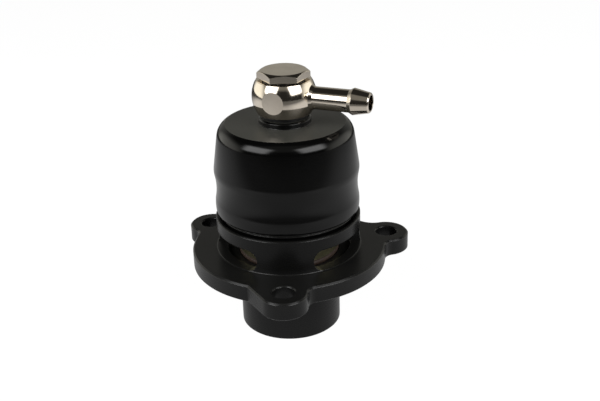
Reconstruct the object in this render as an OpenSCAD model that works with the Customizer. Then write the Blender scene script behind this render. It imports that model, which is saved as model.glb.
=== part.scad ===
// Blow off valve: a spring loaded piston that vents boost pressure through a slotted collar.
// Millimetres. The origin is on the valve's axis, at the underside of the flange. +Z points at the hose fitting.

/* [Flange] */
// Diameter of the flange in front, from the left ear round to the right ear
flange_d = 59.6; // [56:0.2:62]
// Diameter of the flange behind the left and right ears
flange_back_d = 54; // [50:0.2:56]
// Thickness of the flange
flange_t = 5.25; // [4.5:0.25:7]
// Distance from the axis to the hole in the front ear
front_ear_reach = 31.5; // [30:0.1:34]
// Distance from the axis to the hole in the right ear
right_ear_reach = 31.2; // [30:0.1:34]
// Distance from the axis to the hole in the left ear
left_ear_reach = 29.6; // [29:0.1:34]
// Angle from the front ear to the right ear
right_ear_angle = 103.5; // [95:0.5:115]
// Angle from the front ear to the left ear
left_ear_angle = 119; // [110:1:130]
// Radius of the rounded end of each ear
ear_r = 6.9; // [6:0.1:8]
// Radius of the hollow blend between an ear and the front of the flange
front_blend_r = 3.5; // [2:0.5:5]
// Lean of the straight web that runs from the left of the front ear back to the flange
front_web_lean = 33; // [25:1:40]
// Radius of the hollow blend between an ear and the back of the flange
back_blend_r = 6; // [4:0.5:8]
// Diameter of the fixing holes
ear_hole_d = 6.6; // [5.5:0.1:7.4]
// Chamfer on the upper edges of the flange
edge_chamfer = 0.5; // [0.2:0.1:0.8]
// Chamfer on the upper edges of the fixing holes
hole_chamfer = 0.3; // [0.2:0.1:0.6]
// Chamfer on the lower edges of the flange and its holes
under_chamfer = 0.2; // [0.1:0.1:0.5]

/* [Spigot] */
// Outside diameter of the inlet spigot
spigot_d = 31; // [29:0.5:34]
// Length of the spigot below the flange
spigot_l = 20.6; // [12:0.1:30]
// Diameter of the inlet bore
inlet_d = 25; // [22:0.5:26]
// Chamfer at the end of the spigot
spigot_chamfer = 0.3; // [0.2:0.1:1]

/* [Flange seal] */
// Radius of the middle of the sealing ring
flange_seal_r = 22.5; // [22:0.5:24]
// Thickness of the sealing ring
flange_seal_cord = 2.4; // [2:0.1:3]
// How far the ring stands out of its groove
flange_seal_proud = 0.3; // [0.1:0.1:0.5]

/* [Vent collar] */
// Outside diameter of the collar
collar_d = 44.1; // [43.6:0.1:46]
// Height of the collar above the flange
collar_h = 10.75; // [10.5:0.25:14]
// Wall beside the socket that holds the cap
socket_wall = 1.45; // [1.2:0.05:1.7]
// Wall of the vent chamber
chamber_wall = 3; // [2.5:0.1:3.5]
// Depth of the chamber's floor below the top of the flange
chamber_drop = 1.4; // [0.5:0.1:2]
// Number of vent slots
slot_count = 3; // [2:1:4]
// Angle that each post between two slots takes up
post_angle = 44; // [30:1:60]
// Height of the vent slots
slot_h = 6.6; // [5:0.1:7]
// Height of the slots' lower edge above the flange
slot_sill = 0.2; // [0.2:0.1:0.8]
// Radius of the hollow at the foot of the collar
collar_foot_r = 0.5; // [0.2:0.1:0.8]

/* [Snap ring] */
// Thickness of the ring's round wire
snap_wire_d = 1.2; // [1:0.1:1.4]
// Wall of the collar behind the ring's groove
snap_groove_wall = 0.8; // [0.6:0.05:0.9]
// Height of the collar's lip above the groove
snap_lip_h = 0.85; // [0.6:0.05:1.2]
// Angle of the opening in the ring
snap_gap_angle = 16; // [8:1:40]

/* [Cap] */
// Largest diameter of the cap, at its two ridges
cap_d = 43.66; // [43:0.1:46]
// Height of the cap's flat top above the flange's underside
cap_top_z = 44.85; // [43:0.05:52]
// Depth of the hollow waist below the ridges
waist_depth = 0.52; // [0.4:0.02:0.8]
// Radius of the rounding of each ridge
ridge_round_r = 5.9; // [5:0.1:7]
// Height of the lower ridge above the flange's underside
lower_ridge_z = 20.6; // [20:0.1:22]
// Distance between the two ridges
ridge_pitch = 10.2; // [9:0.1:11]
// Lean of the side above the upper ridge
side_lean = 8.1; // [4:0.1:10]
// Radius of the rounded top corner
top_corner_r = 4.5; // [3:0.1:6]
// Angle of the rounded corner where the flat top cuts it off, 90 being level
top_edge_angle = 65; // [50:1:85]
// Diameter of the bead at the cap's lower edge
bead_d = 40.8; // [40:0.1:41.2]
// Height of the bead
bead_h = 0.55; // [0.4:0.05:0.8]
// Width and depth of the groove above the bead
bead_groove = 0.25; // [0.15:0.05:0.35]
// Thickness of the flange at the cap's foot
cap_foot_t = 1; // [0.8:0.1:1.4]
// Thickness of the cap's top above the cylinder
cap_roof_t = 8.35; // [7.5:0.05:11]
// Diameter of the raised seat for the sealing washer
cap_boss_d = 15.6; // [14:0.2:18]
// Height of the raised seat
cap_boss_h = 1.85; // [0.6:0.05:2.4]

/* [Piston] */
// Diameter of the piston
piston_d = 30.8; // [29:0.1:32]
// Travel of the piston from its seat
piston_lift = 8; // [5:0.5:9]
// Free space above the piston at full lift
piston_headroom = 1; // [0.5:0.1:2]
// Wall of the piston's skirt
piston_wall = 2.8; // [2.6:0.1:3.4]
// Thickness of the piston's crown between its seal groove and the cup
piston_crown_t = 2.2; // [1.5:0.1:4]
// Thickness of the sealing ring at the nose
nose_seal_cord = 2; // [1.6:0.1:2.4]
// Height of the lip that holds the nose seal
nose_lip_h = 0.9; // [0.6:0.1:1.4]
// Thickness of the sliding seal
piston_seal_cord = 1.6; // [1.4:0.1:1.8]
// Distance from the top of the skirt to the middle of the sliding seal
piston_seal_drop = 2.6; // [2.2:0.1:3.5]
// Height of the guide ring
guide_h = 4; // [3:0.25:5]
// Thickness of the guide ring
guide_t = 1.3; // [1:0.1:1.6]
// Distance from the sliding seal to the top of the guide ring
guide_drop = 2.6; // [2.2:0.1:3.5]

/* [Spring] */
// Thickness of the spring wire
spring_wire_d = 1.8; // [1.4:0.1:2.2]
// Number of working coils
spring_coils = 5; // [4:0.5:6]
// Height of the pegs that centre the spring
spring_peg_h = 2; // [1:0.25:3]

/* [Hose fitting] */
// Diameter of the banjo ball
ball_d = 18.9; // [17:0.1:20]
// Height of the ball between its two end faces
ball_h = 9.8; // [9:0.2:11]
// Diameter of the round flats on the sides of the ball
ball_flat_d = 6.6; // [5:0.2:8]
// Direction of the hose tail, turned from +X towards the front
tail_angle = 19; // [0:1:45]
// Diameter of the hose tail
tail_d = 6.6; // [6:0.1:7.4]
// Widening of the hose tail where it leaves the ball
tail_root_flare = 0.5; // [0.3:0.1:1.3]
// Distance from the axis to the end of the hose tail
tail_reach = 26.3; // [24:0.1:32]
// Largest diameter of the barb
barb_d = 7.8; // [7.5:0.1:9]
// Length of the barb's long taper
barb_l = 5; // [4:0.25:6]
// Diameter of the barb at its tip
barb_tip_d = 5.9; // [5.6:0.1:6.4]
// Diameter of the bore through the hose tail
tail_bore_d = 4.5; // [3:0.1:5]

/* [Banjo bolt] */
// Diameter of the bolt's thread
thread_d = 10; // [9:0.5:11]
// Width of the bolt's head across its flats
hex_af = 13.5; // [12:0.5:15]
// Height of the bolt's head
hex_h = 2.3; // [2:0.1:6]
// Width of the crown that is turned on the head, at the middle of a flat
hex_crown = 0.35; // [0.1:0.05:0.8]
// Angle that the head was tightened to
hex_turn = 3; // [0:1:59]
// Diameter of the hole up the middle of the bolt
bolt_bore_d = 5; // [3:0.25:6]
// Diameter of the cross hole in the bolt
cross_hole_d = 3.5; // [2:0.25:4.5]
// Distance between the end of the bolt and the roof of the cylinder
bolt_end_gap = 1.5; // [0.5:0.25:3]
// Thickness of the washer under the head
upper_washer_t = 0.5; // [0.3:0.1:1.5]
// Outside diameter of the washer under the head
upper_washer_d = 12.6; // [12:0.2:14]
// Thickness of the washer under the ball
lower_washer_t = 1.3; // [0.8:0.1:2]
// Outside diameter of the washer under the ball
lower_washer_d = 13.8; // [13:0.2:15]

/* [Fits] */
// Radial clearance of the guide ring, the sliding seal and the swivel
running_fit = 0.04; // [0.02:0.01:0.08]
// Radial clearance between the piston's metal and the cylinder
piston_fit = 0.1; // [0.06:0.01:0.1]
// Clearance between pieces that nest in one another
nest_fit = 0.05; // [0.02:0.01:0.1]
// Clearance between the nose seal and its seat
seat_fit = 0.12; // [0.05:0.01:0.2]

/* [Hidden] */
$fn = 96;

// Points along each rounded stretch of an outline
arc_steps = 10;
// How far a cutter runs past the face it opens
overrun = 1;
// How far two rounds that blend into each other cross
blend_overlap = 0.01;

anodised_black = "#1c1c1e";
anodised_olive = "#6f6a45";
rubber_brown = "#5a3324";
rubber_black = "#141414";
bearing_bronze = "#8a6a3c";
spring_steel = "#8e9094";
ring_steel = "#2c2c2e";
nickel_plate = "#c9c2b6";
fibre_black = "#101011";

flange_r = flange_d / 2;
flange_back_r = flange_back_d / 2;
spigot_r = spigot_d / 2;
inlet_r = inlet_d / 2;
ear_hole_r = ear_hole_d / 2;
// Radius where the ears' webs start, inside the round part of the flange
web_root_r = spigot_r + 2;
// How far the ends of the wider part of the flange stop short of an ear's middle
front_end_angle = 4;
// Angle and reach of each ear, and the flange that it meets on its -X and +X side, as radius and blend
front_edge = [flange_r, front_blend_r];
back_edge = [flange_back_r, back_blend_r];
ears = [
    [0, front_ear_reach, front_edge, front_edge],
    [right_ear_angle, right_ear_reach, front_edge, back_edge],
    [-left_ear_angle, left_ear_reach, back_edge, front_edge]
];

flange_seal_groove_w = flange_seal_cord + 2 * nest_fit;
flange_seal_z = flange_seal_cord / 2 - flange_seal_proud;
flange_seal_groove_h = flange_seal_cord - flange_seal_proud + nest_fit;

collar_r = collar_d / 2;
collar_top = flange_t + collar_h;
collar_rim = 0.3;
collar_lead = 0.5;
chamber_r = collar_r - chamber_wall;
socket_r = collar_r - socket_wall;
slot_z = flange_t + slot_sill + slot_h / 2;
slot_angle = 360 / slot_count - post_angle;

snap_wire_r = snap_wire_d / 2;
snap_groove_r = collar_r - snap_groove_wall;
snap_groove_top = collar_top - snap_lip_h;
snap_groove_h = snap_wire_d + 2 * nest_fit;
snap_z = snap_groove_top - snap_groove_h / 2;
snap_mean_r = snap_groove_r - snap_wire_r - nest_fit;
snap_gap_at = 130;

cap_r = cap_d / 2;
cap_foot_top = snap_z - snap_wire_r - nest_fit;
cap_foot_z = cap_foot_top - cap_foot_t;
cap_foot_r = socket_r - nest_fit;
cap_neck_r = snap_mean_r - snap_wire_r - 3 * nest_fit;
upper_ridge_z = lower_ridge_z + ridge_pitch;
ridge_centre_r = cap_r - ridge_round_r;
waist_rise = ridge_round_r - waist_depth;
waist_r = (waist_rise ^ 2 + (ridge_pitch / 2) ^ 2 - ridge_round_r ^ 2) / (2 * waist_depth);
waist_centre = [ridge_centre_r + waist_rise + waist_r, lower_ridge_z + ridge_pitch / 2];
waist_angle = asin(ridge_pitch / 2 / (ridge_round_r + waist_r));
bead_r = bead_d / 2;
bead_sink = 0.1;
bead_z = collar_top - bead_sink;
bead_top = bead_z + bead_h;
bead_groove_top = bead_top + bead_groove;
ridge_foot_angle = asin((lower_ridge_z - bead_groove_top) / ridge_round_r);
corner_z = cap_top_z - top_corner_r * sin(top_edge_angle);
corner_run = (corner_z - upper_ridge_z - (ridge_round_r - top_corner_r) * sin(side_lean)) / cos(side_lean);
corner_centre_r = ridge_centre_r + (ridge_round_r - top_corner_r) * cos(side_lean) - corner_run * sin(side_lean);
cap_boss_r = cap_boss_d / 2;
cap_boss_top = cap_top_z + cap_boss_h;
cap_boss_chamfer = 0.5;

piston_r = piston_d / 2;
cylinder_r = piston_r + piston_fit;
cylinder_lead = 0.5;
roof_z = cap_top_z - cap_roof_t;
thread_r = thread_d / 2;
thread_hole_r = thread_r + nest_fit;

// The seat is a 45 degree cone at the mouth of the inlet, and the seal at the nose comes down on it
seat_margin = 0.15;
seat_r = piston_r + seat_margin;
seat_z = flange_t - chamber_drop;
seat_foot_z = seat_z - (seat_r - inlet_r);
nose_seal_r = piston_r - nose_seal_cord / 2;
nose_seal_z = seat_z - seat_r + nose_seal_r + (nose_seal_cord / 2 + seat_fit) * sqrt(2);
nose_groove_r = nose_seal_r - nose_seal_cord / 2 - nest_fit;
nose_groove_z = nose_seal_z - nose_seal_cord / 2 - nest_fit;
nose_groove_top = nose_seal_z + nose_seal_cord / 2 + nest_fit;
nose_lip_gap = 0.5;
nose_lip_r = seat_r - (seat_z - nose_groove_z) - nose_lip_gap;
nose_z = nose_groove_z - nose_lip_h;
nose_dish = 0.6;

cup_r = piston_r - piston_wall;
cup_z = nose_groove_top + piston_crown_t;
skirt_top = roof_z - piston_lift - piston_headroom;
skirt_chamfer = 0.4;
piston_seal_z = skirt_top - piston_seal_drop;
piston_seal_outer_r = cylinder_r - running_fit;
piston_seal_r = piston_seal_outer_r - piston_seal_cord / 2;
piston_seal_groove_r = piston_seal_outer_r - piston_seal_cord - nest_fit;
piston_seal_groove_h = piston_seal_cord + 2 * nest_fit;
guide_top = piston_seal_z - guide_drop;
guide_outer_r = cylinder_r - running_fit;
guide_inner_r = guide_outer_r - guide_t;
guide_gap_angle = 3;

spring_wire_r = spring_wire_d / 2;
spring_side_gap = 0.8;
spring_r = cup_r - spring_side_gap - spring_wire_r;
spring_foot = cup_z + nest_fit + spring_wire_r;
spring_head = roof_z - nest_fit - spring_wire_r;
spring_peg_gap = 0.3;
spring_peg_r = spring_r - spring_wire_r - spring_peg_gap;
spring_end_turns = 1;
spring_turn_steps = 18;
spring_sides = 8;

lower_washer_z = cap_boss_top;
ball_z = lower_washer_z + lower_washer_t;
ball_centre_z = ball_z + ball_h / 2;
ball_r = ball_d / 2;
ball_flat_reach = sqrt(ball_r ^ 2 - (ball_flat_d / 2) ^ 2);
swivel_r = thread_r + running_fit;
gallery_depth = 1.2;
gallery_r = thread_r + gallery_depth;
gallery_h = 4.6;
upper_washer_z = ball_z + ball_h;
hex_z = upper_washer_z + upper_washer_t;
hex_corner_r = hex_af / 2 / cos(30);
hex_face_r = hex_af / 2 - hex_crown;
hex_crown_lean = 30;
tail_r = tail_d / 2;
tail_root_r = tail_r + tail_root_flare;
tail_root_x = sqrt(ball_r ^ 2 - tail_root_r ^ 2);
tail_root_l = 1;
barb_step_l = 1.2;
barb_tip_rim = 0.3;

// Points on an arc, from one angle to another
function arc(centre, r, from, to) = [
    for (i = [0 : arc_steps])
        let (a = from + (to - from) * i / arc_steps)
        [centre[0] + r * cos(a), centre[1] + r * sin(a)]
];

// A ring of round cord, lying level
module cord_ring(mean_r, cord_d, z) {
    translate([0, 0, z])
        rotate_extrude()
            translate([mean_r, 0])
                circle(d = cord_d, $fn = 32);
}

// A flat washer on the axis
module washer(outer_d, inner_r, t, z) {
    translate([0, 0, z])
        difference() {
            cylinder(d = outer_d, h = t);
            translate([0, 0, -overrun])
                cylinder(r = inner_r, h = t + 2 * overrun);
        }
}

// Turns what is drawn at the front of the valve to an angle, positive towards +X
module at_angle(a) {
    rotate([0, 0, a])
        children();
}

// Outer form of the base: spigot, round part of the flange and collar, in one turning
module base_turning() {
    foot = arc([collar_r + collar_foot_r, flange_t + collar_foot_r], collar_foot_r, 270, 180);
    rotate_extrude()
        polygon(concat(
            [
                [0, -spigot_l],
                [spigot_r - spigot_chamfer, -spigot_l],
                [spigot_r, spigot_chamfer - spigot_l],
                [spigot_r, 0],
                [flange_back_r - under_chamfer, 0],
                [flange_back_r, under_chamfer],
                [flange_back_r, flange_t - edge_chamfer],
                [flange_back_r - edge_chamfer, flange_t]
            ],
            foot,
            [
                [collar_r, collar_top - collar_rim],
                [collar_r - collar_rim, collar_top],
                [0, collar_top]
            ]
        ));
}

// Inside of the base: inlet, seat, vent chamber, socket and ring groove
module base_bore() {
    rotate_extrude()
        polygon([
            [0, -spigot_l - overrun],
            [inlet_r + spigot_chamfer, -spigot_l - overrun],
            [inlet_r + spigot_chamfer, -spigot_l],
            [inlet_r, spigot_chamfer - spigot_l],
            [inlet_r, seat_foot_z],
            [seat_r, seat_z],
            [chamber_r, seat_z],
            [chamber_r, cap_foot_z],
            [socket_r, cap_foot_z],
            [socket_r, snap_groove_top - snap_groove_h],
            [snap_groove_r, snap_groove_top - snap_groove_h],
            [snap_groove_r, snap_groove_top],
            [socket_r, snap_groove_top],
            [socket_r, collar_top - collar_lead],
            [socket_r + collar_lead, collar_top],
            [socket_r + collar_lead, collar_top + overrun],
            [0, collar_top + overrun]
        ]);
}

// Section through a plate with chamfered edges, from the flange's underside to its top
module plate_section(inner_r, outer_r) {
    polygon([
        [inner_r, 0],
        [outer_r - under_chamfer, 0],
        [outer_r, under_chamfer],
        [outer_r, flange_t - edge_chamfer],
        [outer_r - edge_chamfer, flange_t],
        [inner_r, flange_t]
    ]);
}

// Cutter with flared ends that leaves a chamfered hole or hollow
module flared_cutter(r, top_chamfer) {
    rotate_extrude()
        polygon([
            [0, -overrun],
            [r + under_chamfer, -overrun],
            [r + under_chamfer, 0],
            [r, under_chamfer],
            [r, flange_t - top_chamfer],
            [r + top_chamfer, flange_t],
            [r + top_chamfer, flange_t + overrun],
            [0, flange_t + overrun]
        ]);
}

// The wider part of the flange, from inside the left ear round the front to inside the right ear
module front_flange() {
    rotate([0, 0, front_end_angle - 90 - left_ear_angle])
        rotate_extrude(angle = left_ear_angle + right_ear_angle - 2 * front_end_angle)
            plate_section(web_root_r, flange_r);
}

// Direction from the axis to the middle of the blend on an ear's +X side, with the ear at the front
function blend_direction(reach, edge) =
    let (
        edge_to_blend = edge[0] + edge[1] - blend_overlap,
        ear_to_blend = ear_r + edge[1] - blend_overlap,
        cos_blend = (edge_to_blend ^ 2 + reach ^ 2 - ear_to_blend ^ 2) / (2 * edge_to_blend * reach)
    )
    [sqrt(1 - cos_blend ^ 2), -cos_blend];

// Middle of that blend
function blend_centre(reach, edge) = (edge[0] + edge[1] - blend_overlap) * blend_direction(reach, edge);

// One ear at the front, blended into the flange on each side
module ear(reach, left_edge, right_edge) {
    left_root = web_root_r * blend_direction(reach, left_edge);
    left_centre = blend_centre(reach, left_edge);
    right_root = web_root_r * blend_direction(reach, right_edge);
    right_centre = blend_centre(reach, right_edge);
    translate([0, -reach])
        rotate_extrude()
            plate_section(0, ear_r);
    difference() {
        linear_extrude(flange_t)
            polygon([
                [-left_root[0], left_root[1]],
                [-left_centre[0], left_centre[1]],
                [0, -reach],
                right_centre,
                right_root
            ]);
        translate([-left_centre[0], left_centre[1]])
            flared_cutter(left_edge[1], edge_chamfer);
        translate(right_centre)
            flared_cutter(right_edge[1], edge_chamfer);
    }
}

// Straight web on the left of an ear at the front, which touches the ear's round end and runs back into the flange
module straight_web(reach, lean) {
    out = [-cos(lean), -sin(lean)];
    run = [-sin(lean), cos(lean)];
    touch = [0, -reach] + (ear_r - blend_overlap) * out;
    web_l = -touch * run / 2;
    far = touch + web_l * run;
    difference() {
        linear_extrude(flange_t)
            polygon([
                [0, -reach],
                touch + overrun * out,
                far + overrun * out,
                web_root_r / norm(far) * far
            ]);
        translate(touch)
            rotate([0, 0, 180 + lean])
                translate([0, overrun, 0])
                    rotate([90, 0, 0])
                        linear_extrude(web_l + 2 * overrun)
                            polygon([
                                [-under_chamfer, -overrun],
                                [-under_chamfer, 0],
                                [0, under_chamfer],
                                [0, flange_t - edge_chamfer],
                                [-edge_chamfer, flange_t],
                                [-edge_chamfer, flange_t + overrun],
                                [2 * overrun, flange_t + overrun],
                                [2 * overrun, -overrun]
                            ]);
    }
}

// A slot with round ends, cut along the wall of the collar at the front
module vent_slot() {
    end_r = slot_h / 2 + blend_overlap;
    end_angle = slot_angle / 2 - asin(slot_h / 2 / collar_r);
    cut_from = (chamber_r + seat_r) / 2;
    cut_to = collar_r + overrun;
    rotate([0, 0, -90 - end_angle])
        rotate_extrude(angle = 2 * end_angle)
            translate([cut_from, slot_z - slot_h / 2])
                square([cut_to - cut_from, slot_h]);
    for (side = [-1, 1])
        at_angle(side * end_angle)
            translate([0, -cut_from, slot_z])
                rotate([90, 0, 0])
                    cylinder(r = end_r, h = cut_to - cut_from);
}

module base() {
    color(anodised_black)
        difference() {
            union() {
                base_turning();
                front_flange();
                for (e = ears)
                    at_angle(e[0])
                        ear(e[1], e[2], e[3]);
                straight_web(front_ear_reach, front_web_lean);
            }
            base_bore();
            for (e = ears)
                at_angle(e[0])
                    translate([0, -e[1]])
                        flared_cutter(ear_hole_r, hole_chamfer);
            for (i = [0 : slot_count - 1])
                at_angle((i + 0.5) * 360 / slot_count)
                    vent_slot();
            rotate_extrude()
                translate([flange_seal_r - flange_seal_groove_w / 2, -overrun])
                    square([flange_seal_groove_w, flange_seal_groove_h + overrun]);
        }
}

module flange_seal() {
    color(rubber_black)
        cord_ring(flange_seal_r, flange_seal_cord, flange_seal_z);
}

module snap_ring() {
    color(ring_steel)
        translate([0, 0, snap_z])
            rotate([0, 0, snap_gap_at + snap_gap_angle / 2])
                rotate_extrude(angle = 360 - snap_gap_angle)
                    translate([snap_mean_r, 0])
                        circle(d = snap_wire_d, $fn = 24);
}

module cap() {
    lower_ridge = arc([ridge_centre_r, lower_ridge_z], ridge_round_r, -ridge_foot_angle, waist_angle);
    waist = arc(waist_centre, waist_r, 180 + waist_angle, 180 - waist_angle);
    upper_ridge = arc([ridge_centre_r, upper_ridge_z], ridge_round_r, -waist_angle, side_lean);
    top_corner = arc([corner_centre_r, corner_z], top_corner_r, side_lean, top_edge_angle);
    color(anodised_black)
        rotate_extrude()
            polygon(concat(
                [
                    [cylinder_r, cap_foot_z + cylinder_lead],
                    [cylinder_r + cylinder_lead, cap_foot_z],
                    [cap_foot_r, cap_foot_z],
                    [cap_foot_r, cap_foot_top],
                    [cap_neck_r, cap_foot_top],
                    [cap_neck_r, bead_z],
                    [bead_r, bead_z],
                    [bead_r, bead_top],
                    [bead_r - bead_groove, bead_top],
                    [bead_r - bead_groove, bead_groove_top]
                ],
                lower_ridge,
                [for (i = [1 : arc_steps - 1]) waist[i]],
                upper_ridge,
                top_corner,
                [
                    [cap_boss_r, cap_top_z],
                    [cap_boss_r, cap_boss_top - cap_boss_chamfer],
                    [cap_boss_r - cap_boss_chamfer, cap_boss_top],
                    [thread_hole_r, cap_boss_top],
                    [thread_hole_r, roof_z - spring_peg_h],
                    [spring_peg_r, roof_z - spring_peg_h],
                    [spring_peg_r, roof_z],
                    [cylinder_r, roof_z]
                ]
            ));
}

module piston() {
    color(anodised_olive)
        rotate_extrude()
            polygon([
                [0, nose_z + nose_dish],
                [nose_lip_r - nose_lip_h - 2 * nose_dish, nose_z],
                [nose_lip_r - nose_lip_h, nose_z],
                [nose_lip_r, nose_groove_z],
                [nose_groove_r, nose_groove_z],
                [nose_groove_r, nose_groove_top],
                [piston_r, nose_groove_top],
                [piston_r, guide_top - guide_h - nest_fit],
                [guide_inner_r - nest_fit, guide_top - guide_h - nest_fit],
                [guide_inner_r - nest_fit, guide_top + nest_fit],
                [piston_r, guide_top + nest_fit],
                [piston_r, piston_seal_z - piston_seal_groove_h / 2],
                [piston_seal_groove_r, piston_seal_z - piston_seal_groove_h / 2],
                [piston_seal_groove_r, piston_seal_z + piston_seal_groove_h / 2],
                [piston_r, piston_seal_z + piston_seal_groove_h / 2],
                [piston_r, skirt_top - skirt_chamfer],
                [piston_r - skirt_chamfer, skirt_top],
                [cup_r, skirt_top],
                [cup_r, cup_z],
                [spring_peg_r, cup_z],
                [spring_peg_r, cup_z + spring_peg_h],
                [0, cup_z + spring_peg_h]
            ]);
}

module nose_seal() {
    color(rubber_brown)
        cord_ring(nose_seal_r, nose_seal_cord, nose_seal_z);
}

module piston_seal() {
    color(rubber_black)
        cord_ring(piston_seal_r, piston_seal_cord, piston_seal_z);
}

module guide_ring() {
    color(bearing_bronze)
        translate([0, 0, guide_top - guide_h])
            rotate_extrude(angle = 360 - guide_gap_angle)
                translate([guide_inner_r, 0])
                    square([guide_t, guide_h]);
}

// Height of the wire's middle along the spring, with closed coils at both ends
function spring_height(turn) =
    let (
        all_turns = spring_coils + 2 * spring_end_turns,
        closed_rise = spring_wire_d * 1.03 * spring_end_turns,
        open_rise = spring_head - spring_foot - 2 * closed_rise
    )
    turn < spring_end_turns
        ? spring_foot + closed_rise * turn / spring_end_turns
        : turn > all_turns - spring_end_turns
            ? spring_head - closed_rise * (all_turns - turn) / spring_end_turns
            : spring_foot + closed_rise + open_rise * (turn - spring_end_turns) / spring_coils;

module spring() {
    rings = (spring_coils + 2 * spring_end_turns) * spring_turn_steps;
    points = [
        for (i = [0 : rings], k = [0 : spring_sides - 1])
            let (
                turn = i / spring_turn_steps,
                around = 360 * k / spring_sides,
                reach = spring_r + spring_wire_r * cos(around)
            )
            [
                reach * cos(360 * turn),
                reach * sin(360 * turn),
                spring_height(turn) + spring_wire_r * sin(around)
            ]
    ];
    sides = [
        for (i = [0 : rings - 1], k = [0 : spring_sides - 1])
            let (
                a = i * spring_sides + k,
                b = i * spring_sides + (k + 1) % spring_sides
            )
            [a, b, b + spring_sides, a + spring_sides]
    ];
    first_end = [for (k = [0 : spring_sides - 1]) spring_sides - 1 - k];
    last_end = [for (k = [0 : spring_sides - 1]) rings * spring_sides + k];
    color(spring_steel)
        polyhedron(points, concat([first_end], sides, [last_end]));
}

module lower_washer() {
    color(fibre_black)
        washer(lower_washer_d, thread_r + nest_fit, lower_washer_t, lower_washer_z);
}

module upper_washer() {
    color(fibre_black)
        washer(upper_washer_d, thread_r + nest_fit, upper_washer_t, upper_washer_z);
}

// Hose tail with its root and barb, along +X from the middle of the ball
module hose_tail() {
    barb_x = tail_reach - barb_l;
    rotate([0, 90, 0])
        rotate_extrude()
            polygon([
                [0, 0],
                [tail_root_r, 0],
                [tail_root_r, tail_root_x],
                [tail_r, tail_root_x + tail_root_l],
                [tail_r, barb_x - barb_step_l],
                [barb_d / 2, barb_x],
                [barb_tip_d / 2, tail_reach - barb_tip_rim],
                [barb_tip_d / 2 - barb_tip_rim, tail_reach],
                [0, tail_reach]
            ]);
}

module banjo_fitting() {
    color(nickel_plate)
        translate([0, 0, ball_centre_z])
            rotate([0, 0, -tail_angle])
                difference() {
                    union() {
                        intersection() {
                            sphere(r = ball_r);
                            translate([-ball_r, -ball_flat_reach, -ball_h / 2])
                                cube([ball_d, 2 * ball_flat_reach, ball_h]);
                        }
                        hose_tail();
                    }
                    translate([0, 0, -ball_h / 2 - overrun])
                        cylinder(r = swivel_r, h = ball_h + 2 * overrun);
                    translate([0, 0, -gallery_h / 2])
                        cylinder(r = gallery_r, h = gallery_h);
                    rotate([0, 90, 0])
                        cylinder(d = tail_bore_d, h = tail_reach + overrun);
                }
}

module banjo_bolt() {
    bolt_end_z = roof_z + bolt_end_gap;
    crown_r = hex_corner_r + overrun;
    crown_drop = (crown_r - hex_face_r) * tan(hex_crown_lean);
    color(nickel_plate)
        difference() {
            union() {
                intersection() {
                    translate([0, 0, hex_z])
                        rotate([0, 0, hex_turn])
                            cylinder(r = hex_corner_r, h = hex_h, $fn = 6);
                    translate([0, 0, hex_z])
                        rotate_extrude()
                            polygon([
                                [0, 0],
                                [crown_r, 0],
                                [crown_r, hex_h - crown_drop],
                                [hex_face_r, hex_h],
                                [0, hex_h]
                            ]);
                }
                translate([0, 0, bolt_end_z])
                    cylinder(r = thread_r, h = hex_z - bolt_end_z);
            }
            translate([0, 0, bolt_end_z - overrun])
                cylinder(d = bolt_bore_d, h = ball_centre_z - bolt_end_z + cross_hole_d / 2 + 2 * overrun);
            translate([0, 0, ball_centre_z])
                rotate([90, 0, 0])
                    cylinder(d = cross_hole_d, h = thread_d + 2 * overrun, center = true);
        }
}

base();
flange_seal();
snap_ring();
cap();
piston();
nose_seal();
piston_seal();
guide_ring();
spring();
lower_washer();
banjo_fitting();
upper_washer();
banjo_bolt();
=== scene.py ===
"""Blow off valve: finishes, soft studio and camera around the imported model.

The scene is in metres, in the part's own frame. Outlines of turned pieces are in millimetres.
"""
import math

import bmesh
import bpy
from mathutils import Matrix, Vector


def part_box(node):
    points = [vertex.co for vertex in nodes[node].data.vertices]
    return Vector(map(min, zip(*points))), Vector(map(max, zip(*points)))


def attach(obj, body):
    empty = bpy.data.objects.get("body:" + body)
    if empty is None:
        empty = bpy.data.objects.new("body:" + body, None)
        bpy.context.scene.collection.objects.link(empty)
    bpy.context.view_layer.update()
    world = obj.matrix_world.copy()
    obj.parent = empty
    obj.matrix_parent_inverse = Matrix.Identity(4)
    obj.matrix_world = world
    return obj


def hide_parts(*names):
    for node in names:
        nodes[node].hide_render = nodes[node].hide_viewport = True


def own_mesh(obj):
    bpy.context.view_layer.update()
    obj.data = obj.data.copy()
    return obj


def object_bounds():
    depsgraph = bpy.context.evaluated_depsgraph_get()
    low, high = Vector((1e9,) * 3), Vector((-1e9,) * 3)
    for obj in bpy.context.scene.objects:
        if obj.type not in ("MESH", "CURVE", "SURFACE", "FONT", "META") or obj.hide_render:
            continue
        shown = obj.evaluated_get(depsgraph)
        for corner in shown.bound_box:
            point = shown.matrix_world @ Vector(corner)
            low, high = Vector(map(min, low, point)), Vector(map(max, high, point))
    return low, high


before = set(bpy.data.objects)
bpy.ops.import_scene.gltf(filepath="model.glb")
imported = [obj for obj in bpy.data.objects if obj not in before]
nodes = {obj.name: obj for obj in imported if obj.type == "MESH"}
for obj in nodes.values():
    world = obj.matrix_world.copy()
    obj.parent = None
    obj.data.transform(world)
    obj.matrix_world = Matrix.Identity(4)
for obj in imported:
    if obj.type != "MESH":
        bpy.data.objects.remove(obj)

cad_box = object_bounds()
MM = 0.001
WHITE = (1, 1, 1, 1)

# Camera, fitted to the round edges of the flange, collar, cap and bolt head
CAMERA_AZIMUTH = 2.9
CAMERA_ELEVATION = 24.265
CAMERA_ROLL = -1.657
CAMERA_DISTANCE = 287.736 * MM
CAMERA_TARGET = Vector((3.72, 0.19, 19.115)) * MM
CAMERA_FOCAL_PX = 943.5
CAMERA_CLIP_START = 0.01
PHOTO_WIDTH_PX = 600
SENSOR_WIDTH = 36

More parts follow.
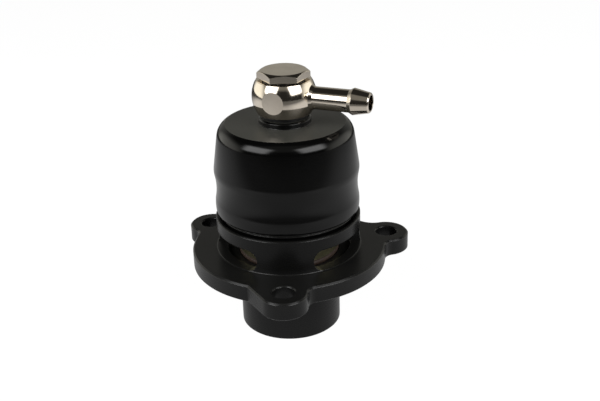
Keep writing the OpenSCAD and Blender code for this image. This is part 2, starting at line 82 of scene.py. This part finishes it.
# Studio: a pale table, a soft box on each side of the camera, pale side walls and a dim room
TABLE_RADIUS = 0.80
TABLE_SEGMENTS = 128
TABLE_COLOUR = (0.14, 0.14, 0.138, 1)
TABLE_GLOW = 0.95
TABLE_STRETCH = (0.48, 1.0, 1.0)
TABLE_BRIGHT_R, TABLE_DARK_R = 0.10, 0.27
TABLE_FRONT, TABLE_SIDES = 0.39, 0.62
SIDES_INNER, SIDES_OUTER = 0.02, 0.12
BOX_DISTANCE = 0.75
BOX_ELEVATION = 33
BOX_AZIMUTHS = (-50, 50)
BOX_SIZE = (0.72, 0.58)
BOX_RADIANCE = 5.3
BOX_FADE = 0.5
ROOM_DARK = 0.02
WALL_AZIMUTH = 108
WALL_NARROW, WALL_WIDE = 12, 44
WALL_LIGHT = 1.35
WALL_TINT = (1.0, 0.985, 0.90, 1)
WALL_LOW_Z, WALL_HIGH_Z = 0.30, 0.75
BACK_LIGHT = 0.32
BACK_START_Y, BACK_FULL_Y = 0.2, 0.7
FRONT_LIGHT = 0.19
FRONT_FULL_Y, FRONT_END_Y = -0.35, -0.10
FRONT_LOW_Z, FRONT_HIGH_Z = 0.40, 0.62

# Fineness of the meshes: radii in millimetres, angles in degrees, the weld in metres
SEGMENTS = 192
ARC_STEPS = 16
EDGE_R = 0.25
EDGE_STEPS = 3
EDGE_SHARE = 0.45
SHARP_TURN = 20
SMOOTH_ANGLE = 32
ON_AXIS = 1e-6
WELD = 1e-7

# Fits between the pieces, in millimetres
THREAD_HOLE_R = 5.05
NEST_FIT = 0.05

# All finishes: the scales of patterns are per metre
NOISE_SPAN = (0.3, 0.7)
NOISE_ROUGHNESS = 0.55
BEVEL_SAMPLES = 6
EDGE_ALIKE = (0.90, 0.995)
LATHE_SCALE = 2600.0

# Anodised aluminium
GRAIN_SCALE = 5200.0
CLOUD_SCALE = 90.0
UPWARD_SPAN = (0.92, 0.99)
WEAR_SPAN = (0.25, 0.9)
RELIEF = 0.5
GLOSS_CHANGE = 0.03
EDGE_POLISH = 0.5
SPECULAR = 0.46
EDGE_SPECULAR = 1.3
# Painted shade on the base's collar: a darker colour and a weaker reflection above this span of heights
COLLAR_SPAN = (6.0 * MM, 7.0 * MM)
COLLAR_SPECULAR = 0.75

# Nickel plate
SWELL_SCALE = 260.0
SWELL_DEPTH = 0.004 * MM
POLISH_STRETCH = (900, 900, 6000)
NICKEL_DARK, NICKEL_LIGHT = (0.74, 0.66, 0.56, 1), (0.81, 0.73, 0.625, 1)
NICKEL_ROUGHNESS = (0.07, 0.13)
NICKEL_EDGE_R = 0.15 * MM

# Seals, washers and wire
BLOOM_SCALE = 420.0
SKIN_SCALE = 6500.0
SKIN_DEPTH = 0.006 * MM
RUBBER_IOR = 1.5
PATCH_SCALE = 240.0
STREAK_DEPTH = 0.004 * MM
ROUGHNESS_FALL = 0.08
RUBBER_ROUGHNESS_RISE = 0.08
WIRE_ROUGHNESS_RISE = 0.1


# Meshes

def span(node):
    """Radius, lowest and highest level of a node turned about the axis, in millimetres."""
    low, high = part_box(node)
    return high.x / MM, low.z / MM, high.z / MM


def arc(centre, radius, start, end, steps=ARC_STEPS):
    """Points on an arc, angles in degrees."""
    turns = [math.radians(start + (end - start) * i / steps) for i in range(steps + 1)]
    return [(centre[0] + radius * math.cos(a), centre[1] + radius * math.sin(a)) for a in turns]


def soften(outline, radius=EDGE_R):
    """A closed outline with each sharp corner rounded off."""
    rounded = []
    for i, corner in enumerate(outline):
        p = Vector(corner)
        before = Vector(outline[i - 1]) - p
        after = Vector(outline[(i + 1) % len(outline)]) - p
        turn = math.degrees(math.pi - before.angle(after))
        if turn < SHARP_TURN or p.x < ON_AXIS:
            rounded.append((p.x, p.y))
            continue
        reach = radius * math.tan(math.radians(turn) / 2)
        reach = min(reach, EDGE_SHARE * before.length, EDGE_SHARE * after.length)
        start, end = p + before.normalized() * reach, p + after.normalized() * reach
        for k in range(EDGE_STEPS + 1):
            t = k / EDGE_STEPS
            q = start * (1 - t) ** 2 + p * 2 * t * (1 - t) + end * t ** 2
            rounded.append((q.x, q.y))
    return rounded


def add_section(made, section, angle):
    """Vertices of a section of (radius, height) in millimetres, at an angle round the valve's axis."""
    return [
        made.verts.new((r * math.cos(angle) * MM, r * math.sin(angle) * MM, z * MM))
        for r, z in section
    ]


def revolve(outline):
    """A closed outline of (radius, height) in millimetres, turned about the valve's axis."""
    made = bmesh.new()
    rings = [add_section(made, outline, 2 * math.pi * k / SEGMENTS) for k in range(SEGMENTS)]
    on_axis = [r < ON_AXIS for r, z in outline]
    for k, here in enumerate(rings):
        there = rings[(k + 1) % SEGMENTS]
        for i in range(len(outline)):
            j = (i + 1) % len(outline)
            if on_axis[i] and on_axis[j]:
                continue
            corners = [here[i], there[i], there[j], here[j]]
            if on_axis[i]:
                corners.remove(there[i])
            elif on_axis[j]:
                corners.remove(there[j])
            made.faces.new(corners)
    return made


def in_scene(name, data):
    """A new object in the scene."""
    made = bpy.data.objects.new(name, data)
    bpy.context.scene.collection.objects.link(made)
    return made


def finish_mesh(name, made, body, node, paint, smooth_angle=SMOOTH_ANGLE):
    """Closes a bmesh as a piece that stands for a node, with its finish."""
    bmesh.ops.remove_doubles(made, verts=made.verts, dist=WELD)
    bmesh.ops.recalc_face_normals(made, faces=made.faces)
    mesh = bpy.data.meshes.new(name)
    made.to_mesh(mesh)
    made.free()
    mesh.shade_smooth()
    mesh.set_sharp_from_angle(angle=math.radians(smooth_angle))
    piece = in_scene(name, mesh)
    piece.data.materials.append(paint)
    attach(piece, body)
    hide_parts(node)
    return piece


# Shaders

class Nodes:
    """The nodes of one shader."""

    def __init__(self, tree):
        self.tree = tree

    def add(self, kind, settings=None, **inputs):
        """A node with its settings, and each input as a number, a colour or another node's socket.

        An input is called by its name, or by its place as in i0.
        """
        made = self.tree.nodes.new("ShaderNode" + kind)
        for key, value in (settings or {}).items():
            setattr(made, key, value)
        for key, value in inputs.items():
            by_place = key[0] == "i" and key[1:].isdigit()
            self.put(value, made.inputs[int(key[1:]) if by_place else key])
        return made

    def put(self, value, socket):
        """Links a socket to another node's, or sets its value."""
        if isinstance(value, bpy.types.NodeSocket):
            self.tree.links.new(value, socket)
        else:
            socket.default_value = value

    def math(self, operation, first, second=0.0):
        return self.add("Math", {"operation": operation}, i0=first, i1=second).outputs[0]

    def place(self):
        """Position on the object, in metres."""
        return self.add("TexCoord").outputs["Object"]

    def split(self, vector):
        """X, Y and Z of a vector."""
        return self.add("SeparateXYZ", Vector=vector).outputs

    def stretch(self, vector, factors):
        """A vector with each axis stretched by itself."""
        return self.add("VectorMath", {"operation": "MULTIPLY"}, i0=vector, i1=factors).outputs[0]

    def spread(self, value, low, high, start=NOISE_SPAN[0], end=NOISE_SPAN[1], step="LINEAR"):
        """A value between start and end, taken to the range from low to high."""
        made = self.add("MapRange", {"interpolation_type": step}, Value=value)
        for key, v in (("From Min", start), ("From Max", end), ("To Min", low), ("To Max", high)):
            made.inputs[key].default_value = v
        return made.outputs["Result"]

    def tint(self, factor, low, high):
        """A colour between two."""
        return self.add("Mix", {"data_type": "RGBA"}, Factor=factor, i6=low, i7=high).outputs[2]


class Paint(Nodes):
    """A node material around one Principled shader."""

    def __init__(self, name, **sockets):
        self.material = bpy.data.materials.new(name)
        self.material.use_nodes = True
        super().__init__(self.material.node_tree)
        self.shader = self.tree.nodes["Principled BSDF"]
        self.finish(**sockets)

    def turned(self, scale):
        """Position as radius and height only, so that a pattern runs in rings like the marks of a lathe."""
        parts = self.split(self.place())
        squares = [self.math("POWER", parts[k], 2.0) for k in "XY"]
        radius = self.math("SQRT", self.math("ADD", *squares))
        rings = self.add("CombineXYZ", X=radius, Y=0.0, Z=parts["Z"]).outputs[0]
        return self.add("VectorMath", {"operation": "SCALE"}, i0=rings, Scale=scale).outputs[0]

    def noise(self, where, scale=1.0, detail=3.0):
        """A cloudy pattern around one half."""
        made = self.add("TexNoise", Vector=where, Scale=scale, Detail=detail, Roughness=NOISE_ROUGHNESS)
        return made.outputs["Fac"]

    def rounded(self, radius):
        """The normal of the surface with its sharp edges rounded."""
        return self.add("Bevel", {"samples": BEVEL_SAMPLES}, Radius=radius).outputs["Normal"]

    def edge(self, rounded):
        """1 along the edges that a normal rounds, and 0 on open surfaces."""
        flat = self.add("NewGeometry").outputs["Normal"]
        alike = self.add("VectorMath", {"operation": "DOT_PRODUCT"}, i0=rounded, i1=flat).outputs["Value"]
        return self.spread(alike, 1.0, 0.0, *EDGE_ALIKE)

    def bump(self, height, depth, normal=None):
        """Relief of the surface, on a rounded normal where one is given."""
        made = self.add("Bump", Height=height, Distance=depth, Strength=1.0)
        if normal:
            self.put(normal, made.inputs["Normal"])
        self.put(made.outputs["Normal"], self.shader.inputs["Normal"])

    def finish(self, **sockets):
        """The material, with these sockets of its shader set."""
        for key, value in sockets.items():
            self.put(value, self.shader.inputs[key.replace("_", " ")])
        return self.material


class Stage(Nodes):
    """The shader of the table, a lamp or the world."""

    def __init__(self, tree):
        tree.nodes.clear()
        super().__init__(tree)

    def ramp(self, value, start, end, low=0.0, high=1.0):
        """A soft step from low to high."""
        return self.spread(value, low, high, start, end, "SMOOTHSTEP")

    def fade(self, across):
        """1 in the middle of a span from 0 to 1, and 0 at its ends."""
        off = self.math("ABSOLUTE", self.math("SUBTRACT", across, 0.5))
        return self.ramp(off, 0.5 - BOX_FADE / 2, 0.5, 1.0, 0.0)

    def seen(self, share, bright=1.0):
        """Bright to the camera, and a share to reflections and to what shines through."""
        path = self.add("LightPath").outputs
        mirrored = self.math("MAXIMUM", path["Is Glossy Ray"], path["Is Transmission Ray"])
        direct = self.math("MULTIPLY", path["Is Camera Ray"], bright)
        return self.math("MAXIMUM", direct, self.math("MULTIPLY", mirrored, share))


# Finishes

def anodised(
        name, dark, light, worn, roughness, faced, painted_top_light, ring_depth, edge_r,
        ior=1.36, metallic=0.0, collar_painted_shade=None):
    """Anodised aluminium: lathe rings, etched grain, duller upper faces with painted light on them, thin
    burnished edges and, where given, painted shade on the collar.
    """
    p = Paint(name, Metallic=metallic, IOR=ior)
    rings = p.noise(p.turned(LATHE_SCALE), detail=4.0)
    grain = p.noise(p.place(), GRAIN_SCALE, detail=2.0)
    cloud = p.noise(p.place(), CLOUD_SCALE, detail=4.0)
    rounded = p.rounded(edge_r)
    edge = p.edge(rounded)
    upward_matt_and_painted_light = p.spread(p.split(p.add("NewGeometry").outputs["Normal"])["Z"], 0.0, 1.0, *UPWARD_SPAN)
    # Upward faces take a lighter colour, painted light on the tops, as well as a duller roughness.
    base = p.tint(upward_matt_and_painted_light, p.tint(p.spread(cloud, 0.0, 1.0), dark, light), painted_top_light)
    specular = p.spread(edge, SPECULAR, EDGE_SPECULAR, 0.0, 1.0)
    # Painted shade: above the collar span the colour is darker and the reflection weaker.
    if collar_painted_shade:
        above = p.spread(p.split(p.place())["Z"], 0.0, 1.0, *COLLAR_SPAN)
        base = p.tint(above, base, collar_painted_shade)
        specular = p.math("MULTIPLY", specular, p.spread(above, 1.0, COLLAR_SPECULAR, 0.0, 1.0))
    wear = p.math("MULTIPLY", edge, p.spread(cloud, *WEAR_SPAN))
    relief = p.math("ADD", p.spread(rings, -RELIEF, RELIEF), p.spread(grain, -RELIEF, RELIEF))
    p.bump(relief, ring_depth, rounded)
    gloss = p.spread(relief, -GLOSS_CHANGE, GLOSS_CHANGE, -2 * RELIEF, 2 * RELIEF)
    burnished = p.spread(edge, 0.0, EDGE_POLISH * roughness, 0.0, 1.0)
    matt = p.math("SUBTRACT", p.spread(upward_matt_and_painted_light, roughness, faced, 0.0, 1.0), burnished)
    return p.finish(
        Base_Color=p.tint(wear, base, worn),
        Roughness=p.math("ADD", gloss, matt),
        Specular_IOR_Level=specular,
    )


def nickel(name):
    """Bright nickel plate over turned brass: a faint swell in the plating and fine polishing marks."""
    p = Paint(name, Metallic=1.0)
    swell = p.noise(p.place(), SWELL_SCALE, detail=2.0)
    marks = p.noise(p.stretch(p.place(), POLISH_STRETCH))
    p.bump(swell, SWELL_DEPTH, p.rounded(NICKEL_EDGE_R))
    return p.finish(
        Base_Color=p.tint(p.spread(swell, 0.0, 1.0), NICKEL_DARK, NICKEL_LIGHT),
        Roughness=p.spread(marks, *NICKEL_ROUGHNESS),
    )


def rubber(name, dark, light, roughness):
    """Moulded seal: a dusty bloom and a fine matt skin."""
    p = Paint(name, Metallic=0.0, IOR=RUBBER_IOR)
    bloom = p.noise(p.place(), BLOOM_SCALE, detail=5.0)
    p.bump(p.noise(p.place(), SKIN_SCALE, detail=2.0), SKIN_DEPTH)
    return p.finish(
        Base_Color=p.tint(p.spread(bloom, 0.0, 1.0), dark, light),
        Roughness=p.spread(bloom, roughness - ROUGHNESS_FALL, roughness + RUBBER_ROUGHNESS_RISE),
    )


def wire(name, dark, light, roughness):
    """Drawn steel wire: streaks of the die and dull patches."""
    p = Paint(name, Metallic=1.0)
    patch = p.noise(p.place(), PATCH_SCALE, detail=4.0)
    p.bump(p.noise(p.turned(LATHE_SCALE)), STREAK_DEPTH)
    return p.finish(
        Base_Color=p.tint(p.spread(patch, 0.0, 1.0), dark, light),
        Roughness=p.spread(patch, roughness - ROUGHNESS_FALL, roughness + WIRE_ROUGHNESS_RISE),
    )


# The colour for upward faces in each finish below is painted light on the tops.
polished_black = anodised(
    "anodised_black",
    dark=(0.0016, 0.0016, 0.0016, 1), light=(0.0026, 0.0026, 0.0025, 1), worn=(0.012, 0.012, 0.012, 1),
    roughness=0.14, faced=0.42, painted_top_light=(0.046, 0.046, 0.040, 1),
    ring_depth=0.0003 * MM, edge_r=0.12 * MM)
# The collar colour of this finish is painted shade on the upper part of the base.
satin_black = anodised(
    "anodised_black_satin",
    dark=(0.0056, 0.0056, 0.0056, 1), light=(0.0080, 0.0080, 0.0078, 1), worn=(0.018, 0.018, 0.018, 1),
    roughness=0.27, faced=0.30, painted_top_light=(0.0090, 0.0090, 0.0085, 1),
    ring_depth=0.0005 * MM, edge_r=0.25 * MM, collar_painted_shade=(0.0046, 0.0046, 0.0044, 1))
olive_anodise = anodised(
    "anodised_olive",
    dark=(0.32, 0.30, 0.175, 1), light=(0.46, 0.43, 0.26, 1), worn=(0.55, 0.52, 0.36, 1),
    roughness=0.30, faced=0.34, painted_top_light=(0.40, 0.375, 0.22, 1),
    ring_depth=0.002 * MM, edge_r=0.2 * MM, ior=1.5, metallic=0.85)
nickel_plate = nickel("nickel_plate")
black_rubber = rubber("seal_black", (0.012, 0.012, 0.012, 1), (0.022, 0.021, 0.020, 1), 0.55)
brown_rubber = rubber("seal_brown", (0.024, 0.012, 0.007, 1), (0.038, 0.020, 0.012, 1), 0.68)
black_fibre = rubber("washer_black", (0.003, 0.003, 0.0035, 1), (0.006, 0.006, 0.0065, 1), 0.42)
bearing_plastic = rubber("guide_bronze", (0.26, 0.15, 0.06, 1), (0.36, 0.22, 0.10, 1), 0.45)
spring_wire = wire("spring_steel", (0.40, 0.41, 0.43, 1), (0.55, 0.56, 0.58, 1), 0.28)
ring_wire = wire("ring_steel", (0.035, 0.035, 0.038, 1), (0.07, 0.07, 0.075, 1), 0.35)

for node_name, paint in {
    "base": satin_black, "snap_ring": ring_wire, "guide_ring": bearing_plastic,
    "banjo_fitting": nickel_plate, "banjo_bolt": nickel_plate,
}.items():
    mesh = nodes[node_name].data
    mesh.materials.clear()
    mesh.materials.append(paint)


# Cap: one turning with a bead at its foot, a band, a hollow waist, a ridge and a rounded top corner

CAP_TOP_Z = 44.85
RIDGE_ROUND_R = 5.9
LOWER_RIDGE_Z = 20.6
RIDGE_PITCH = 10.2
WAIST_DEPTH = 0.52
SIDE_LEAN = 8.1
TOP_CORNER_R = 4.5
TOP_EDGE_ANGLE = 65
BAND_TOP_DROP = 0.08
BAND_Z = 20.0
BAND_LOW_Z = 18.5
BAND_CORNER_R = 1.1
BAND_CORNER_END = 75
CAP_FOOT_R = 20.55
CAP_FOOT_T = 1.0
CAP_NECK_R = 19.85
BEAD_R = 20.6
BEAD_Z, BEAD_H = 16.35, 0.55
BEAD_GROOVE = 0.3
BOSS_R = 7.8
BOSS_EDGE = 0.5
ROOF_Z = 36.5
PEG_R, PEG_H = 9.7, 2.0
CYLINDER_R = 15.5


def waist_circle(cap_r):
    """Centre and radius of the hollow waist, and the angle at which it meets the ridge above it."""
    rise = RIDGE_ROUND_R - WAIST_DEPTH
    radius = (rise ** 2 + (RIDGE_PITCH / 2) ** 2 - RIDGE_ROUND_R ** 2) / (2 * WAIST_DEPTH)
    centre = (cap_r - RIDGE_ROUND_R + rise + radius, LOWER_RIDGE_Z + RIDGE_PITCH / 2)
    return centre, radius, math.degrees(math.asin(RIDGE_PITCH / 2 / (RIDGE_ROUND_R + radius)))


def cap_band(cap_r, waist_centre, waist_r):
    """The band under the waist with its rounded lower corner, and the angle of the crease between them."""
    crease = math.acos((waist_centre[0] - cap_r + BAND_TOP_DROP) / waist_r)
    crease_z = waist_centre[1] - waist_r * math.sin(crease)
    band_r = (crease_z - BAND_Z) ** 2 / (2 * BAND_TOP_DROP)
    low, top = (math.asin((z - BAND_Z) / band_r) for z in (BAND_LOW_Z, crease_z))
    band = arc((cap_r - band_r, BAND_Z), band_r, math.degrees(low), math.degrees(top))
    corner = (band[0][0] - BAND_CORNER_R * math.cos(low), BAND_LOW_Z - BAND_CORNER_R * math.sin(low))
    rounded = arc(corner, BAND_CORNER_R, -BAND_CORNER_END, math.degrees(low))
    return rounded + band[1:], math.degrees(crease)


def cap_shoulder(cap_r, waist_angle):
    """The ridge above the waist, the leaning side and the rounded top corner."""
    ridge = (cap_r - RIDGE_ROUND_R, LOWER_RIDGE_Z + RIDGE_PITCH)
    lean = math.radians(SIDE_LEAN)
    shrink = RIDGE_ROUND_R - TOP_CORNER_R
    corner_z = CAP_TOP_Z - TOP_CORNER_R * math.sin(math.radians(TOP_EDGE_ANGLE))
    run = (corner_z - ridge[1] - shrink * math.sin(lean)) / math.cos(lean)
    corner = (ridge[0] + shrink * math.cos(lean) - run * math.sin(lean), corner_z)
    return [
        *arc(ridge, RIDGE_ROUND_R, -waist_angle, SIDE_LEAN),
        *arc(corner, TOP_CORNER_R, SIDE_LEAN, TOP_EDGE_ANGLE),
    ]


def make_cap():
    cap_r, foot_z, boss_top = span("cap")
    foot_top, bead_top, groove_r = foot_z + CAP_FOOT_T, BEAD_Z + BEAD_H, BEAD_R - BEAD_GROOVE
    waist_centre, waist_r, waist_angle = waist_circle(cap_r)
    band, crease_angle = cap_band(cap_r, waist_centre, waist_r)
    outline = [
        (CYLINDER_R, foot_z), (CAP_FOOT_R, foot_z), (CAP_FOOT_R, foot_top), (CAP_NECK_R, foot_top),
        (CAP_NECK_R, BEAD_Z), (BEAD_R, BEAD_Z), (BEAD_R, bead_top), (groove_r, bead_top),
        (groove_r, band[0][1]),
        *band,
        *arc(waist_centre, waist_r, 180 + crease_angle, 180 - waist_angle)[1:-1],
        *cap_shoulder(cap_r, waist_angle),
        (BOSS_R, CAP_TOP_Z), (BOSS_R, boss_top - BOSS_EDGE), (BOSS_R - BOSS_EDGE, boss_top),
        (THREAD_HOLE_R, boss_top), (THREAD_HOLE_R, ROOF_Z - PEG_H), (PEG_R, ROOF_Z - PEG_H),
        (PEG_R, ROOF_Z), (CYLINDER_R, ROOF_Z),
    ]
    finish_mesh("cap_shell", revolve(soften(outline)), "housing", "cap", polished_black)


# Piston, its seals and the spring

CUP_R = 12.6
CROWN_T = 2.2
NOSE_LIP_H = 0.9
NOSE_LIP_R = 14.434
NOSE_DISH = 0.6
GUIDE_T = 1.3
PISTON_EDGE_R = 0.3
SEAL_SIDES = 24
SPRING_WIRE_D = 1.8
SPRING_COILS = 5
SPRING_END_TURNS = 1
SPRING_TURNS = SPRING_COILS + 2 * SPRING_END_TURNS
SPRING_CLOSED_PITCH = 1.03
SPRING_TURN_STEPS = 64
SPRING_SIDES = 16
SPRING_SMOOTH_ANGLE = 60


def cord_size(node):
    """Middle radius, level and thickness of a ring of round cord."""
    outer_r, low_z, high_z = span(node)
    return outer_r - (high_z - low_z) / 2, (low_z + high_z) / 2, high_z - low_z


def groove(inner_r, outer_r, low_z, high_z):
    """A groove in the outside of a turning, on the way up."""
    return [
        (outer_r, low_z - NEST_FIT), (inner_r - NEST_FIT, low_z - NEST_FIT),
        (inner_r - NEST_FIT, high_z + NEST_FIT), (outer_r, high_z + NEST_FIT),
    ]


def make_piston():
    piston_r, nose_z, skirt_top = span("piston")
    nose_r, nose_seal_z, nose_cord = cord_size("nose_seal")
    seal_r, seal_z, seal_cord = cord_size("piston_seal")
    guide_r, guide_low, guide_top = span("guide_ring")
    nose_groove_r = nose_r - nose_cord / 2 - NEST_FIT
    nose_groove_low = nose_seal_z - nose_cord / 2 - NEST_FIT
    nose_groove_top = nose_seal_z + nose_cord / 2 + NEST_FIT
    cup_z = nose_groove_top + CROWN_T
    lip_r = NOSE_LIP_R - NOSE_LIP_H
    outline = [
        (0, nose_z + NOSE_DISH), (lip_r - 2 * NOSE_DISH, nose_z), (lip_r, nose_z),
        (NOSE_LIP_R, nose_groove_low), (nose_groove_r, nose_groove_low),
        (nose_groove_r, nose_groove_top), (piston_r, nose_groove_top),
        *groove(guide_r - GUIDE_T, piston_r, guide_low, guide_top),
        *groove(seal_r - seal_cord / 2, piston_r, seal_z - seal_cord / 2, seal_z + seal_cord / 2),
        (piston_r, skirt_top), (CUP_R, skirt_top), (CUP_R, cup_z),
        (PEG_R, cup_z), (PEG_R, cup_z + PEG_H), (0, cup_z + PEG_H),
    ]
    made = revolve(soften(outline, PISTON_EDGE_R))
    finish_mesh("piston_body", made, "piston", "piston", olive_anodise)


def make_cord_ring(name, node, body, paint):
    mean_r, level, cord = cord_size(node)
    section = arc((mean_r, level), cord / 2, 0, 360, SEAL_SIDES)[:-1]
    finish_mesh(name, revolve(section), body, node, paint)


def spring_level(turn, foot, head):
    """Level of the wire's middle at a turn of the spring, with closed coils at both ends."""
    closed = SPRING_WIRE_D * SPRING_CLOSED_PITCH * SPRING_END_TURNS
    if turn < SPRING_END_TURNS:
        return foot + closed * turn / SPRING_END_TURNS
    if turn > SPRING_TURNS - SPRING_END_TURNS:
        return head - closed * (SPRING_TURNS - turn) / SPRING_END_TURNS
    return foot + closed + (head - foot - 2 * closed) * (turn - SPRING_END_TURNS) / SPRING_COILS


def spring_mesh(outer_r, low_z, high_z):
    """Round wire wound about the axis, with flat ends."""
    wire_r = SPRING_WIRE_D / 2
    made = bmesh.new()
    rings = []
    for i in range(SPRING_TURNS * SPRING_TURN_STEPS + 1):
        turn = i / SPRING_TURN_STEPS
        level = spring_level(turn, low_z + wire_r, high_z - wire_r)
        section = arc((outer_r - wire_r, level), wire_r, 0, 360, SPRING_SIDES)[:-1]
        rings.append(add_section(made, section, 2 * math.pi * turn))
    for here, there in zip(rings, rings[1:]):
        for k in range(SPRING_SIDES):
            j = (k + 1) % SPRING_SIDES
            made.faces.new([here[k], here[j], there[j], there[k]])
    made.faces.new(rings[0])
    made.faces.new(rings[-1])
    return made


def make_spring():
    outer_r, low_z, high_z = span("spring")
    spring = finish_mesh(
        "spring_coil", spring_mesh(outer_r, low_z, high_z), "housing", "spring",
        spring_wire, SPRING_SMOOTH_ANGLE)
    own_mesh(spring)


# Washers on the banjo bolt

WASHER_EDGE_R = 0.2


def make_washer(name, node):
    outer_r, low_z, high_z = span(node)
    outline = [(THREAD_HOLE_R, low_z), (outer_r, low_z), (outer_r, high_z), (THREAD_HOLE_R, high_z)]
    made = revolve(soften(outline, WASHER_EDGE_R))
    finish_mesh(name, made, "housing", node, black_fibre)


make_cap()
make_piston()
make_cord_ring("flange_o_ring", "flange_seal", "housing", black_rubber)
make_cord_ring("nose_o_ring", "nose_seal", "piston", brown_rubber)
make_cord_ring("piston_o_ring", "piston_seal", "piston", black_rubber)
make_spring()
make_washer("lower_sealing_washer", "lower_washer")
make_washer("upper_sealing_washer", "upper_washer")


# Studio

def towards(azimuth, elevation):
    """Direction at an azimuth from the front and an elevation, both in degrees."""
    a, e = math.radians(azimuth), math.radians(elevation)
    return Vector((math.sin(a) * math.cos(e), -math.cos(a) * math.cos(e), math.sin(e)))


def make_camera():
    back = towards(CAMERA_AZIMUTH, CAMERA_ELEVATION)
    azimuth, roll = math.radians(CAMERA_AZIMUTH), math.radians(CAMERA_ROLL)
    right = Vector((math.cos(azimuth), math.sin(azimuth), 0))
    up = back.cross(right)
    side = right * math.cos(roll) + up * math.sin(roll)
    top = up * math.cos(roll) - right * math.sin(roll)
    data = bpy.data.cameras.new("camera")
    data.sensor_width = SENSOR_WIDTH
    data.lens = CAMERA_FOCAL_PX / PHOTO_WIDTH_PX * SENSOR_WIDTH
    data.clip_start = CAMERA_CLIP_START
    camera = in_scene("camera", data)
    camera.matrix_world = Matrix((side, top, back)).transposed().to_4x4()
    camera.matrix_world.translation = CAMERA_TARGET + back * CAMERA_DISTANCE
    bpy.context.scene.camera = camera


def table_paint():
    """Pale and matt, white to the camera. Reflections show it dimmer, and darker further off."""
    paint = bpy.data.materials.new("table")
    paint.use_nodes = True
    s = Stage(paint.node_tree)
    matt = s.add("BsdfDiffuse", Color=TABLE_COLOUR)
    place = s.place()
    oval = s.stretch(place, TABLE_STRETCH)
    away = s.add("VectorMath", {"operation": "LENGTH"}, i0=oval).outputs["Value"]
    aside = s.math("ABSOLUTE", s.split(place)["X"])
    level = s.ramp(aside, SIDES_INNER, SIDES_OUTER, TABLE_FRONT, TABLE_SIDES)
    lit = s.math("MULTIPLY", s.ramp(away, TABLE_BRIGHT_R, TABLE_DARK_R, 1.0, 0.0), level)
    glow = s.add("Emission", Strength=s.seen(lit, TABLE_GLOW))
    both = s.add("AddShader", i0=matt.outputs[0], i1=glow.outputs[0])
    s.add("OutputMaterial", Surface=both.outputs[0])
    return paint


def make_floor():
    made = bmesh.new()
    bmesh.ops.create_circle(made, cap_ends=True, segments=TABLE_SEGMENTS, radius=TABLE_RADIUS)
    mesh = bpy.data.meshes.new("table")
    made.to_mesh(mesh)
    made.free()
    mesh.materials.append(table_paint())
    table = in_scene("table", mesh)
    table.location.z = cad_box[0].z


def make_lamps():
    """Soft boxes that fade towards their edges."""
    for azimuth in BOX_AZIMUTHS:
        direction = towards(azimuth, BOX_ELEVATION)
        data = bpy.data.lights.new("soft_box", "AREA")
        data.shape = "RECTANGLE"
        data.size, data.size_y = BOX_SIZE
        data.energy = BOX_RADIANCE * math.pi * BOX_SIZE[0] * BOX_SIZE[1]
        data.use_nodes = True
        s = Stage(data.node_tree)
        across = s.split(s.add("NewGeometry").outputs["Parametric"])
        fades = [s.fade(across[k]) for k in "XY"]
        glow = s.add("Emission", Strength=s.math("MULTIPLY", *fades))
        s.add("OutputLight", Surface=glow.outputs[0])
        lamp = in_scene("soft_box", data)
        lamp.location = CAMERA_TARGET + direction * BOX_DISTANCE
        lamp.rotation_mode = "QUATERNION"
        lamp.rotation_quaternion = direction.to_track_quat("Z", "Y")


def make_world():
    """White to the camera. Reflections show pale walls on both sides, a grey back wall and a dim room."""
    world = bpy.data.worlds.new("studio")
    bpy.context.scene.world = world
    world.use_nodes = True
    s = Stage(world.node_tree)
    parts = s.split(s.add("TexCoord").outputs["Generated"])
    turn = math.radians(WALL_AZIMUTH)
    across = s.math("MULTIPLY", s.math("ABSOLUTE", parts["X"]), math.sin(turn))
    along = s.math("MULTIPLY", parts["Y"], -math.cos(turn))
    wide, narrow = (math.cos(math.radians(angle)) for angle in (WALL_WIDE, WALL_NARROW))
    walls = s.ramp(s.math("ADD", across, along), wide, narrow, 0.0, WALL_LIGHT)
    back = s.ramp(parts["Y"], BACK_START_Y, BACK_FULL_Y, 0.0, BACK_LIGHT)
    low = s.ramp(parts["Z"], WALL_LOW_Z, WALL_HIGH_Z, 1.0, 0.0)
    pale = s.math("MULTIPLY", s.math("MAXIMUM", walls, back), low)
    ahead = s.ramp(parts["Y"], FRONT_FULL_Y, FRONT_END_Y, FRONT_LIGHT, 0.0)
    front = s.math("MULTIPLY", ahead, s.ramp(parts["Z"], FRONT_LOW_Z, FRONT_HIGH_Z))
    strength = s.math("MAXIMUM", s.seen(s.math("MAXIMUM", pale, front)), ROOM_DARK)
    tint = s.tint(s.add("LightPath").outputs["Is Camera Ray"], WALL_TINT, WHITE)
    light = s.add("Background", Color=tint, Strength=strength)
    s.add("OutputWorld", Surface=light.outputs[0])


make_camera()
make_floor()
make_lamps()
make_world()
bpy.context.scene.view_settings.view_transform = "Standard"
